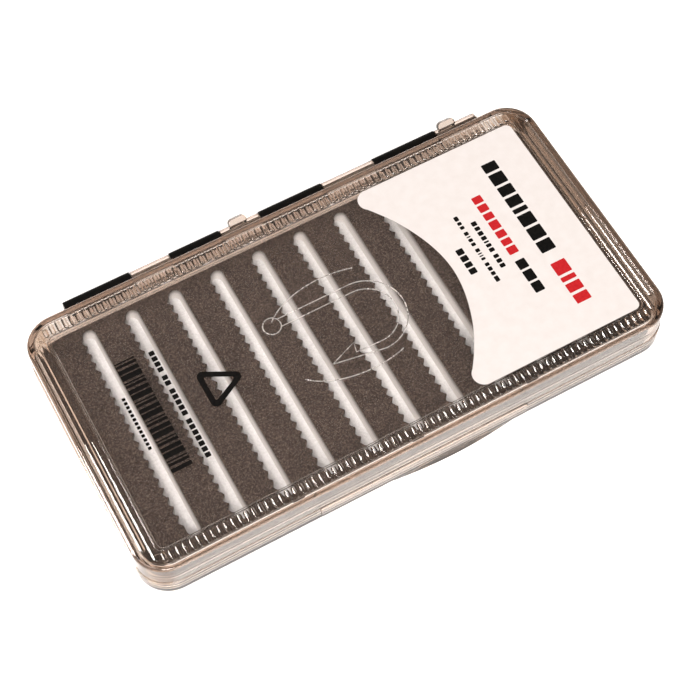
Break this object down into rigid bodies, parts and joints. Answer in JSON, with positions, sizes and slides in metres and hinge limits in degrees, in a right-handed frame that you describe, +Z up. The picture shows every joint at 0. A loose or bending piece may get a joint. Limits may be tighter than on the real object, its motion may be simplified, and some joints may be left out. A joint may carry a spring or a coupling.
{
  "type": "slim hinged fly box",
  "caption": "Slim clear hinged box with a ribbed lid border and a slotted, slit foam insert that holds fishing flies by their hooks.",
  "frame": {"origin": "centre of the flat underside, on the surface that the closed box rests on", "axes": "+X along the long side, +Y towards the hinge, +Z up through the lid"},
  "size_m": [0.1624, 0.0929, 0.015],
  "materials": {
    "clear_base": "polished clear polystyrene, faintly warm",
    "clear_lid": "polished crystal-clear polystyrene",
    "grey_foam": "closed-cell EVA foam, matte, fine grain",
    "white_foam": "white EVA foam sheet, matte",
    "adhesive_film": "double-sided adhesive film",
    "black_plastic": "moulded black acetal, fine satin",
    "steel": "drawn stainless wire",
    "label_paper": "white coated label stock",
    "black_ink": "printed black ink",
    "red_ink": "printed red ink"
  },
  "bodies": {
    "base": {"base_tray": "clear_base", "foam_adhesive": "adhesive_film", "foam_backing": "white_foam", "slit_foam": "grey_foam", "hinge_barrel_1": "black_plastic", "hinge_barrel_2": "black_plastic", "hinge_barrel_3": "black_plastic", "hinge_barrel_4": "black_plastic", "hinge_pin": "steel"},
    "lid": {"lid_shell": "clear_lid", "lid_label": "label_paper", "window_print": "black_ink"}
  },
  "joints": [
    {"name": "lid_hinge", "type": "hinge", "parent": "base", "child": "lid", "pos_m": [0, 0.04615, 0.0075], "axis": [-1, 0, 0], "range_deg": [0, 180]}
  ]
}
